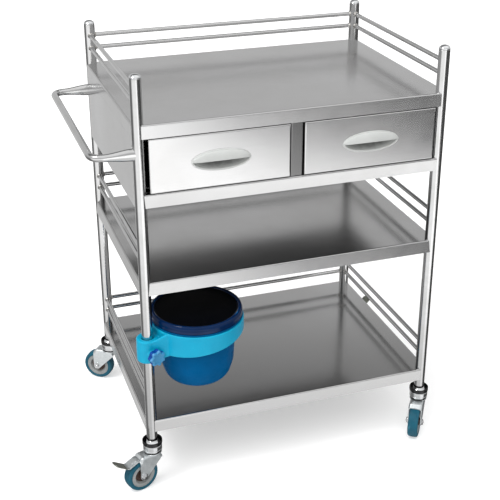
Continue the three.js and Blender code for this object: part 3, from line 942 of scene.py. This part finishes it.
CHEEK = {"inner": 14.5 * MM, "wall": 2.5 * MM, "steps": 4, "arc_steps": 6}
CROWN_TOP = 89.5 * MM
FORK = {
    "toe": -15 * MM, "toe_height": 77 * MM, "boss": 9 * MM, "touch": math.radians(-150), "corner": 6 * MM,
    "thinnest": 3 * MM, "heel_drop": 8 * MM, "toe_drop": 10 * MM, "toe_round": 7 * MM,
}
FORK_STATIONS = {"count": 34, "even_to": 0.6}  # the last part's stations crowd towards the heel
BOLT = [(0, -22), (3.0, -22), (4.0, -21), (4.0, 21), (3.0, 22), (0, 22)]
NUT = [(0, 17.05), (7.0, 17.05), (7.0, 20.4), (6.3, 21.0), (0, 21.0)]
WASHER = [(3.8, 16.9), (8.4, 16.9), (8.4, 17.8), (3.8, 17.8)]


def make_caster(corner):
    post = POSTS[corner]
    roll = joint("roll_" + corner)
    axle = Vector(roll["pos_m"])
    away = (axle - post).xy
    heading = math.atan2(away.y, away.x)
    trail, radius = away.length, axle.z
    steady = Matrix.Translation((post.x, post.y, 0))
    trailing = steady @ Matrix.Rotation(heading, 4, "Z")
    make_stem(corner, steady)
    make_fork(corner, trailing, trail, radius)
    make_wheel(corner, trailing @ Matrix.Translation((trail, 0, radius)), radius)
    if "brake_pedal_" + corner in frame["nodes"]:
        make_pedal(corner, trailing, trail)


def make_stem(corner, place):
    """Stem and chrome swivel cup, with the black dust ring on the cup and a collar under the post."""
    node = "caster_stem_" + corner
    post_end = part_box("post_" + corner)[0].z / MM
    stem_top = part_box(node)[1].z / MM
    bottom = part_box(node)[0].z / MM
    seat = bottom + 2.2
    cup = [
        (0, seat), (18.0, seat), (21.8, seat + 2.4), (22.0, seat + 5.5), (21.3, seat + 6.1),
        (22.0, seat + 6.8), (22.0, bottom + 18), (20.4, bottom + 21.5), (18.6, bottom + 24.5),
        (14.6, bottom + 28.5), (12.6, post_end - 0.6), (12.2, post_end - 0.3), (10.4, post_end + 0.2),
        (10.4, stem_top - 2), (8.5, stem_top), (0, stem_top),
    ]
    turned_piece(node + ".cup", rounded(cup, 1.2, 4), 56, place, CHROME, CART, "caster_zinc", [node])
    # The race's black stands in for the dark gap between cup and crown: painted shade.
    race = [(0, bottom - 0.3), (20.4, bottom - 0.3), (20.4, seat + 0.4), (0, seat + 0.4)]
    turned_piece("bearing_race_" + corner, rounded(race, 0.4, 2), 48, place, BLACK, CART, "caster_zinc")
    ring = [
        (20.6, bottom + 20.4), (22.5, bottom + 20.4), (23.0, bottom + 23), (23.0, bottom + 29.6),
        (22.4, bottom + 30.9), (20.9, bottom + 30.6), (20.6, bottom + 26),
    ]
    turned_piece("dust_ring_" + corner, ring_path(ring, 0.7, 3), 56, place, BLACK, CART, "caster_zinc")


def cheek_section(low, high):
    """The yoke's section between two heights: up one cheek, round over the wheel and down the other."""
    out = CHEEK["inner"] + CHEEK["wall"] / 2
    arc = min(FORK["corner"], (high - low) * 0.8)
    straight = high - arc - low
    side = [(-out, low + straight * k / CHEEK["steps"]) for k in range(CHEEK["steps"])]
    for k in range(CHEEK["arc_steps"] + 1):
        angle = math.pi / 2 * k / CHEEK["arc_steps"]
        side.append((-out + arc * (1 - math.cos(angle)), high - arc + arc * math.sin(angle)))
    return side + [(-y, z) for y, z in reversed(side)]


def make_fork(corner, place, trail, wheel_radius):
    node, body = "caster_fork_" + corner, "fork_" + corner
    wall, boss, toe, toe_round = CHEEK["wall"], FORK["boss"], FORK["toe"], FORK["toe_round"]
    heel = trail + boss
    top = CROWN_TOP - wall / 2
    touch_x = trail + boss * math.cos(FORK["touch"])
    touch_z = wheel_radius + boss * math.sin(FORK["touch"])

    def lower_edge(x):
        """Height of the cheek's lower edge: a straight slope from the toe to the round boss at the axle."""
        if x < touch_x:
            return FORK["toe_height"] + (touch_z - FORK["toe_height"]) * (x - toe) / (touch_x - toe)
        return wheel_radius - math.sqrt(max(boss**2 - (x - trail) ** 2, 0))

    stations = []
    even = FORK_STATIONS["even_to"]
    rest = 1 - even
    for i in range(FORK_STATIONS["count"] + 1):
        t = i / FORK_STATIONS["count"]
        if t >= even:
            t = even + rest * math.sin((t - even) / rest * math.pi / 2)
        x = toe + (heel - toe) * t
        drop = FORK["heel_drop"] * smooth_step((x - trail) / boss)
        drop += FORK["toe_drop"] * smooth_step((toe + toe_round - x) / toe_round)
        high = top - drop
        low = min(lower_edge(x), high - FORK["thinnest"])
        stations.append([(x, y, z) for y, z in cheek_section(low, high)])
    yoke = Build().loft(stations, closed=False).placed(place)
    piece(node + ".yoke", yoke, ZINC, body, "caster_zinc", [node], wall=wall, bevel=0.5 * MM, sharp=55)

    top = CROWN_TOP / MM
    crown = [(0, top - 3.4), (19.6, top - 3.4), (21, top - 2.4), (21, top - 0.8), (20.0, top), (0, top)]
    turned_piece("fork_crown_" + corner, rounded(crown, 0.8, 3), 48, place, ZINC, body, "caster_zinc")

    axle = place @ Matrix.Translation((trail, 0, wheel_radius))
    bolt = merge(Build(), Build().turned(scaled(BOLT), 24, "Y"), axle)
    for turn in (math.pi, 0):
        outward = axle @ Matrix.Rotation(turn, 4, "Z")
        merge(bolt, Build().turned(scaled(ring_path(WASHER, 0.3, 2)), 32, "Y"), outward)
        merge(bolt, Build().turned(scaled(NUT), 6, "Y"), outward)
    piece("axle_bolt_" + corner, bolt, CHROME, body, "caster_zinc", bevel=0.35 * MM, sharp=40)


def make_wheel(corner, place, radius):
    body = "wheel_" + corner
    outer = radius / MM
    tyre = [
        (30.0, -12.2), (33.0, -12.5), (outer - 3.6, -12.3), (outer - 0.9, -10.4), (outer - 0.15, -6.5),
        (outer, -0.5), (outer, 0.5), (outer - 0.15, 6.5), (outer - 0.9, 10.4), (outer - 3.6, 12.3),
        (33.0, 12.5), (30.0, 12.2), (29.8, 10.5), (29.8, -10.5),
    ]
    node = "caster_tyre_" + corner
    tread = ring_path(tyre, 2.2, 4)
    turned_piece(node + ".tread", tread, 72, place, RUBBER, body, "tyre_rubber", [node], axis="Y")

    rim = [
        (29.9, -10.8), (29.3, -11.6), (28.0, -11.3), (22.9, -11.5), (21.2, -11.1), (20.2, -9.6),
        (18.0, -5.4), (18.0, 5.4), (20.2, 9.6), (21.2, 11.1), (22.9, 11.5), (28.0, 11.3), (29.3, 11.6),
        (29.9, 10.8),
    ]
    node = "caster_rim_" + corner
    rim = ring_path(rim, 0.7, 3)
    turned_piece(node + ".ring", rim, 64, place, RIM_GREY, body, "rim_plastic", [node], axis="Y")

    web = [
        (18.4, -5.2), (11.6, -4.6), (10.2, -6.0), (9.2, -12.2), (8.2, -13.3), (4.4, -13.3), (4.4, 13.3),
        (8.2, 13.3), (9.2, 12.2), (10.2, 6.0), (11.6, 4.6), (18.4, 5.2),
    ]
    web = ring_path(web, 0.8, 3)
    # The hub's dark brown is painted shade in the wheel's recess.
    turned_piece("wheel_hub_" + corner, web, 48, place, HUB_SHADED, body, "rim_plastic", axis="Y")


PEDAL_LINE = [(-6, 83.3), (10, 83.3), (36, 72.9), (68.5, 95.2)]  # mm behind the swivel, height in mm
PEDAL = {
    "pivot_width": 9.5, "wider": 3.2, "wider_from": 6, "wider_over": 12, "round_end": 9.0,
    "end_narrower": 6, "stations": 46, "tab_from": 27, "wall": 2.2 * MM, "edge": 0.5 * MM,
}
PEDAL_ACROSS = (-1, -0.86, -0.5, 0, 0.5, 0.86, 1)
STAMPING = {"x": 20.5, "z": 80.3 * MM, "half": (6 * MM, 6.5 * MM), "height": 1.6 * MM}


def make_pedal(corner, place, trail):
    """The brake's pressed plate over the tyre, and its foot tab."""
    node, body = "brake_pedal_" + corner, "pedal_" + corner
    line = rounded([(trail / MM + x, z) for x, z in PEDAL_LINE], 7, 6)
    lengths = [0.0]
    for before, after in zip(line, line[1:]):
        lengths.append(lengths[-1] + math.dist(before, after))
    total = lengths[-1]

    def half_width(way):
        """Half the plate's width, at a distance along it: narrow at the pivot, a round end at the tab."""
        widened = smooth_step((way - PEDAL["wider_from"]) / PEDAL["wider_over"])
        wide = PEDAL["pivot_width"] + PEDAL["wider"] * widened
        into_end = (PEDAL["round_end"] - (total - way)) / PEDAL["round_end"]
        if into_end <= 0:
            return wide
        return wide - PEDAL["end_narrower"] * (1 - math.sqrt(max(0.0, 1 - into_end**2)))

    stations = []
    for way in [total * i / PEDAL["stations"] for i in range(PEDAL["stations"] + 1)]:
        k = max(i for i in range(len(lengths)) if lengths[i] <= way + TINY)
        k = min(k, len(line) - 2)
        part = (way - lengths[k]) / max(lengths[k + 1] - lengths[k], TINY)
        x = line[k][0] + (line[k + 1][0] - line[k][0]) * part
        z = line[k][1] + (line[k + 1][1] - line[k][1]) * part
        stations.append((x, z, half_width(way)))

    split = PEDAL["tab_from"]
    # The tab takes the darker zinc: painted dark reflection.
    parts = (("plate", stations[: split + 1], ZINC, [node]), ("tab", stations[split:], TAB_ZINC_DARK_REFLECTION, ()))
    for part, spots, metal, stands_for in parts:
        rows = [[(x * MM, y * half * MM, z * MM) for y in PEDAL_ACROSS] for x, z, half in spots]
        build = Build().loft(rows, closed=False).placed(place)
        piece(
            f"{node}.{part}", build, metal, body, "caster_zinc", stands_for,
            wall=PEDAL["wall"], bevel=PEDAL["edge"], sharp=55,
        )

    slope = math.atan2(PEDAL_LINE[2][1] - PEDAL_LINE[1][1], PEDAL_LINE[2][0] - PEDAL_LINE[1][0])
    spot = Matrix.Translation(((trail / MM + STAMPING["x"]) * MM, 0, STAMPING["z"]))
    spot = spot @ Matrix.Rotation(-slope, 4, "Y")
    x, y = STAMPING["half"]
    pad = Build().box((-x, -y, 0), (x, y, STAMPING["height"])).placed(place @ spot)
    piece("brake_stamping_" + corner, pad, ZINC, body, "caster_zinc", bevel=0.6 * MM)


# ---------- bucket on its ring ----------


def carrier_frame():
    """The post the carrier turns on, and the direction to its bucket."""
    post = POSTS["front_left"]
    bucket = middle("waste_bucket")
    away = (bucket - post).xy
    place = Matrix.Translation((post.x, post.y, 0)) @ Matrix.Rotation(math.atan2(away.y, away.x), 4, "Z")
    return place, away.length


RING = {"outer": 107.2, "inner": 99.2, "near": 350, "far": 378, "corner": 2.2, "sides": 120}
CLAMP = {"outer": 24.8, "inner": 13.0, "below_ring": 16, "corner": 2.5}
KNOB = {"start": 28.6, "end": 45.0, "radius": 18.9, "lobe": 2.0, "lobes": 7, "sides": 84, "face": 5.5}
WEB = {
    "clamp": 21, "clamp_angle": math.radians(100), "band": 103, "band_angle": 0.40, "band_side": 40,
    "half": 3, "rise": 15, "steps": 12,
}


def knob_axis():
    """The knob's height, with its Y axis turned to point away from the bucket."""
    height = joint("knob_turn")["pos_m"][2]
    return Matrix.Translation((0, 0, height)) @ Matrix.Rotation(math.pi, 4, "Z")


def add_webs(build, centre, bottom, top, clamp_top):
    """Webs that carry the band from the clamp, and rise to its top edge."""
    start_x = WEB["clamp"] * math.cos(WEB["clamp_angle"])
    end_x = centre - WEB["band"] * math.cos(WEB["band_angle"])
    for side in (-1, 1):
        web = []
        for i in range(WEB["steps"] + 1):
            t = i / WEB["steps"]
            x = start_x * (1 - t) + t * end_x
            y = side * (WEB["clamp"] * (1 - t) + WEB["band_side"] * t)
            high = clamp_top + (top - 0.4 - clamp_top) * smooth_step(t)
            low = bottom + 0.6 + WEB["rise"] * smooth_step(t)
            inner, outer = y - WEB["half"] * side, y + WEB["half"] * side
            corners = ((inner, low), (outer, low), (outer, high), (inner, high))
            web.append([(x * MM, across * MM, z * MM) for across, z in corners])
        build.loft(web, caps=True)


def make_ring(place, reach):
    """The bucket's band, the clamp round the post and the knob's boss, in one moulding."""
    low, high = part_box("bucket_ring")
    bottom, top = low.z / MM, high.z / MM
    clamp_top = top - CLAMP["below_ring"]
    centre = reach / MM
    rings = []
    for c, s in circle(RING["sides"]):
        foot = RING["far"] + (RING["near"] - RING["far"]) * (1 - c) / 2
        inner, outer, height = RING["inner"], RING["outer"], top - 0.2
        section = [(inner, foot), (outer, foot), (outer, height), (inner, height)]
        corners = rounded(section, RING["corner"], 3, closed=True)
        rings.append([((centre + r * c) * MM, r * s * MM, z * MM) for r, z in corners])
    build = Build().loft([*rings, rings[0]])
    inner, outer, foot = CLAMP["inner"], CLAMP["outer"], bottom + 0.2
    clamp = [(inner, foot), (outer, foot), (outer, clamp_top), (inner, clamp_top)]
    merge(build, Build().turned(scaled(ring_path(clamp, CLAMP["corner"], 4)), 64))
    boss_end = KNOB["start"] - 0.6
    boss = [(0, 15), (13.5, 15), (13.5, 25), (11.5, boss_end), (0, boss_end)]
    merge(build, Build().turned(scaled(rounded(boss, 1.5, 3)), 40, "Y"), knob_axis())
    add_webs(build, centre, bottom, top, clamp_top)
    build.placed(place)
    piece(
        "bucket_ring.moulding", build, CYAN, "bucket_carrier", "ring_plastic", ["bucket_ring"],
        blended=1.5 * MM, sharp=180,
    )


def make_knob(place):
    turn = place @ knob_axis()

    def lobed(size, depth, lobe):
        ring = []
        for i, (c, s) in enumerate(circle(KNOB["sides"])):
            radius = size - lobe + lobe * math.cos(2 * math.pi * KNOB["lobes"] * i / KNOB["sides"])
            ring.append((radius * c * MM, depth * MM, radius * s * MM))
        return ring

    start, end, radius, lobe = KNOB["start"], KNOB["end"], KNOB["radius"], KNOB["lobe"]
    seam = end - KNOB["face"]
    skirt = [
        (11.0, start, 0), (radius - 2.5, start, 0.6), (radius - 0.6, start + 1.2, lobe),
        (radius, start + 3, lobe), (radius, seam - 0.4, lobe), (radius - 0.8, seam, lobe),
    ]
    build = Build().loft([lobed(*spot) for spot in skirt], caps=True).placed(turn)
    piece("clamp_knob.body", build, KNOB_DARK, "knob", "knob_plastic", ["clamp_knob"], sharp=60)
    cap = [
        (radius - 0.8, seam, lobe), (radius - 0.1, seam + 0.7, lobe), (radius - 0.1, end - 2.6, lobe),
        (radius - 0.9, end - 0.9, lobe), (radius - 2.6, end - 0.1, lobe * 0.9),
        (radius - 4.5, end, lobe * 0.7), (11.0, end - 0.2, 0.3), (10.2, end - 0.9, 0), (3, end - 1.2, 0),
    ]
    build = Build().loft([lobed(*spot) for spot in cap], caps=True).placed(turn)
    # The face takes the lighter blue: painted highlight on the knob's front.
    piece("clamp_knob.face", build, KNOB_FACE_HIGHLIGHT, "knob", "knob_plastic", sharp=60)
    post = POST_RADIUS / MM
    stud = [(0, post + 0.4), (3.4, post + 0.4), (4, post + 1), (4, start + 1), (0, start + 1)]
    turned_piece("clamp_stud", stud, 24, turn, ZINC, "knob", "caster_zinc", axis="Y")


def make_bucket(place, reach):
    centre = place @ Matrix.Translation((reach, 0, 0))
    low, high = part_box("waste_bucket")
    bottom, rim = low.z / MM, high.z / MM
    outside = [
        (0, bottom + 1.2), (30, bottom + 1.2, 2), (33, bottom, 2), (39, bottom, 30), (72, bottom + 14, 34),
        (83, bottom + 50, 60), (87, 360, 40), (93, rim - 11, 6), (96, rim - 3.2, 2), (104.6, rim - 3.0, 1),
        (105, rim - 1.5, 1), (104.4, rim - 0.1, 1),
    ]
    inside = [
        (91.0, rim - 0.1, 1.2), (90.2, rim - 6, 4), (84.4, 360, 40), (80.5, bottom + 50, 60),
        (70, bottom + 17, 30), (38, bottom + 3, 10), (0, bottom + 3),
    ]
    turned_piece(
        "waste_bucket.shell", rounded([*outside, *inside], 2, 6), 96, centre, BUCKET_BLUE,
        "bucket", "bucket_plastic", ["waste_bucket"], sharp=70,
    )

    low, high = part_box("bucket_lid")
    bottom, top = low.z / MM, high.z / MM
    rim_part = [
        (93.6, bottom + 0.4), (97, bottom + 0.4, 1), (98.5, bottom, 1), (103.4, bottom, 1.5),
        (104, bottom + 2, 1.5), (103.6, bottom + 7, 3), (103.9, top - 7, 5), (101.6, top - 0.8, 5),
        (97.5, top, 3), (94.4, top - 1.6, 1.5), (93.6, top - 4.0, 1),
    ]
    turned_piece(
        "bucket_lid.rim", rounded(rim_part, 1.5, 6), 96, centre, RIM_NAVY, "lid", "lid_plastic", sharp=70
    )
    cover = [
        (0, bottom + 0.4), (93.8, bottom + 0.4, 1), (93.8, top - 3.2, 1), (91.5, top - 4.2, 2.5),
        (60, top - 3.4, 30), (0, top - 2.8),
    ]
    turned_piece(
        "bucket_lid.cover", rounded(cover, 1.5, 6), 96, centre, LID_BLACK,
        "lid", "lid_plastic", ["bucket_lid"], sharp=70,
    )


# ---------- stage, light and camera ----------

CAMERA = {
    "at": (-0.76491, -2.18342, 1.55598), "yaw": 0.32729, "pitch": -0.42416, "roll": -0.00136,
    "lens": 75.405, "sensor": 36, "shift": -0.05,
}
FLOOR = {"half": 15, "drop": 0.2 * MM}
BACKDROP = {"radius": 13, "height": 16, "sides": 64}
WHITE = (1.0, 1.0, 1.0, 1.0)
PALE_FLOOR = (0.70, 0.70, 0.70)
DIM_FLOOR = (0.685, 0.685, 0.685)


def make_floor():
    mesh = bpy.data.meshes.new("floor")
    half, z = FLOOR["half"], -FLOOR["drop"]
    corners = [(-half, -half, z), (half, -half, z), (half, half, z), (-half, half, z)]
    mesh.from_pydata(corners, [], [(0, 1, 2, 3)])
    floor = added("floor", mesh)
    look = Look("pale_floor", Roughness=0.7, Emission_Strength=0.42, Emission_Color=WHITE)
    look.colour(look.mixed(look.between(look.noise(2.0, 3.0)), PALE_FLOOR, DIM_FLOOR))
    mesh.materials.append(look.material)
    floor.visible_glossy = False


def make_backdrop():
    """A plain white surround that only the camera sees, so that every view has the same white behind it."""
    mesh = bpy.data.meshes.new("backdrop")
    radius, heights = BACKDROP["radius"], (0, BACKDROP["height"])
    points = [(x * radius, y * radius, z) for x, y in circle(BACKDROP["sides"]) for z in heights]
    count = len(points)
    mesh.from_pydata(points, [], [(i, (i + 2) % count, (i + 3) % count, i + 1) for i in range(0, count, 2)])
    surround = added("backdrop", mesh)
    look = Look("white_backdrop", Roughness=1.0, Emission_Strength=1.0, Emission_Color=WHITE)
    look.shader.inputs["Base Color"].default_value = (0.0, 0.0, 0.0, 1.0)
    mesh.materials.append(look.material)
    surround.visible_diffuse = False
    surround.visible_glossy = False
    surround.visible_transmission = False
    surround.visible_shadow = False


def toward(azimuth, elevation=0.0):
    """A direction from the cart: azimuth 0 is in front of it, towards -Y, and 90 to its right."""
    a, e = math.radians(azimuth), math.radians(elevation)
    return Vector((math.sin(a) * math.cos(e), -math.cos(a) * math.cos(e), math.sin(e)))


# The studio round the cart, by azimuth in degrees and by height as the sine of the elevation.
WALL = {
    "start": (-102, -68), "end": (15, 44), "drop": (-0.32, -0.40), "softness": 3.5,
    "foot": (-0.42, -0.56), "levels": (1.95, 1.06), "bright_from": (-14, 8), "side_share": 0.72,
}
BACK = {"right": (168, 180), "left": (-150, -158), "level": 0.72}
DARK = {"from": (-0.10, -0.24), "levels": (0.50, 0.09), "left": (-60, -110), "left_level": 0.22}
SKY = {
    "from": (-0.02, 0.13), "rise": (0.35, 0.8), "levels": (0.68, 1.15), "behind": (0.2, 0.5),
    "far_from": (0.42, 0.56), "far_level": 0.22,
}
SUN = {"energy": 1.7, "angle": math.radians(55), "from": (-45, 58)}
SOFTBOX = {"energy": 22, "size": 0.6, "from": (-70, 48), "away": 2.6, "aim": (0, 0, 0.6)}


def make_world():
    """A studio: a white wall to the front left and dimmer beyond, dark round it, grey behind and above."""
    world = bpy.data.worlds.new("studio")
    bpy.context.scene.world = world
    world.use_nodes = True
    tree = world.node_tree
    back_node = tree.nodes["Background"]

    def node(kind, settings=(), **inputs):
        return add_node(tree, kind, settings, **inputs)

    def ramp(value, start, end, low=0.0, high=1.0):
        settings = {"interpolation_type": "SMOOTHSTEP"}
        return node("MapRange", settings, i0=value, i1=start, i2=end, i3=low, i4=high).outputs[0]

    def maths(operation, a, b=0.0):
        return node("Math", {"operation": operation}, i0=a, i1=b).outputs[0]

    def blend(share, first, second):
        settings = {"data_type": "FLOAT"}
        return node("Mix", settings, i0=share, i2=first, i3=second).outputs[0]

    way = tree.nodes.new("ShaderNodeTexCoord").outputs["Generated"]
    x, y, height = node("SeparateXYZ", i0=way).outputs
    azimuth = maths("MULTIPLY", maths("ARCTAN2", x, maths("MULTIPLY", y, -1.0)), math.degrees(1))
    wall_end = ramp(height, *WALL["drop"], *WALL["end"])
    past_end = maths("SUBTRACT", azimuth, wall_end)
    soft = WALL["softness"]
    wall = maths("MULTIPLY", ramp(azimuth, *WALL["start"]), ramp(past_end, -soft, soft, 1.0, 0.0))
    share = ramp(azimuth, *WALL["bright_from"], WALL["side_share"], 1.0)
    wall_level = maths("MULTIPLY", ramp(height, *WALL["foot"], *WALL["levels"]), share)
    back = maths("ADD", ramp(azimuth, *BACK["right"]), ramp(azimuth, *BACK["left"]))
    dark = maths(
        "MAXIMUM",
        ramp(height, *DARK["from"], *DARK["levels"]),
        ramp(azimuth, *DARK["left"], 0.0, DARK["left_level"]),
    )
    around = blend(back, dark, BACK["level"])
    below = blend(wall, around, wall_level)
    sky = ramp(height, *SKY["rise"], *SKY["levels"])
    far_side = maths("MULTIPLY", ramp(y, *SKY["behind"]), ramp(height, *SKY["far_from"]))
    above = blend(far_side, sky, SKY["far_level"])
    level = blend(ramp(height, *SKY["from"]), below, above)
    tree.links.new(level, back_node.inputs["Strength"])
    back_node.inputs["Color"].default_value = WHITE


def make_lights():
    sun = bpy.data.lights.new("broad_light", "SUN")
    sun.energy, sun.angle = SUN["energy"], SUN["angle"]
    lamp = added("broad_light", sun)
    lamp.rotation_euler = toward(*SUN["from"]).to_track_quat("Z", "Y").to_euler()
    lamp.visible_glossy = False
    softbox = bpy.data.lights.new("left_softbox", "AREA")
    softbox.energy, softbox.size = SOFTBOX["energy"], SOFTBOX["size"]
    lamp = added("left_softbox", softbox)
    way = toward(*SOFTBOX["from"])
    lamp.location = Vector(SOFTBOX["aim"]) + way * SOFTBOX["away"]
    lamp.rotation_euler = way.to_track_quat("Z", "Y").to_euler()


def make_camera():
    yaw, pitch, roll = (CAMERA[turn] for turn in ("yaw", "pitch", "roll"))
    ahead = Vector((math.sin(yaw) * math.cos(pitch), math.cos(yaw) * math.cos(pitch), math.sin(pitch)))
    right = Vector((math.cos(yaw), -math.sin(yaw), 0))
    up = right.cross(ahead)
    leaned_right = right * math.cos(roll) + up * math.sin(roll)
    leaned_up = up * math.cos(roll) - right * math.sin(roll)
    data = bpy.data.cameras.new("camera")
    data.lens, data.sensor_width, data.shift_y = CAMERA["lens"], CAMERA["sensor"], CAMERA["shift"]
    camera = added("camera", data)
    columns = Matrix((leaned_right, leaned_up, -ahead)).transposed().to_4x4()
    camera.matrix_world = Matrix.Translation(CAMERA["at"]) @ columns
    bpy.context.scene.camera = camera


# ---------- build ----------

for corner_name in CORNERS:
    make_post(corner_name)
make_rails()
make_handle()
make_shelves()
make_bay()
make_divider()
for side_name in ("left", "right"):
    make_drawer(side_name)
for corner_name in CORNERS:
    make_caster(corner_name)
carrier, bucket_reach = carrier_frame()
make_ring(carrier, bucket_reach)
make_knob(carrier)
make_bucket(carrier, bucket_reach)

make_floor()
make_backdrop()
make_world()
make_lights()
make_camera()
bpy.context.scene.view_settings.view_transform = "Standard"
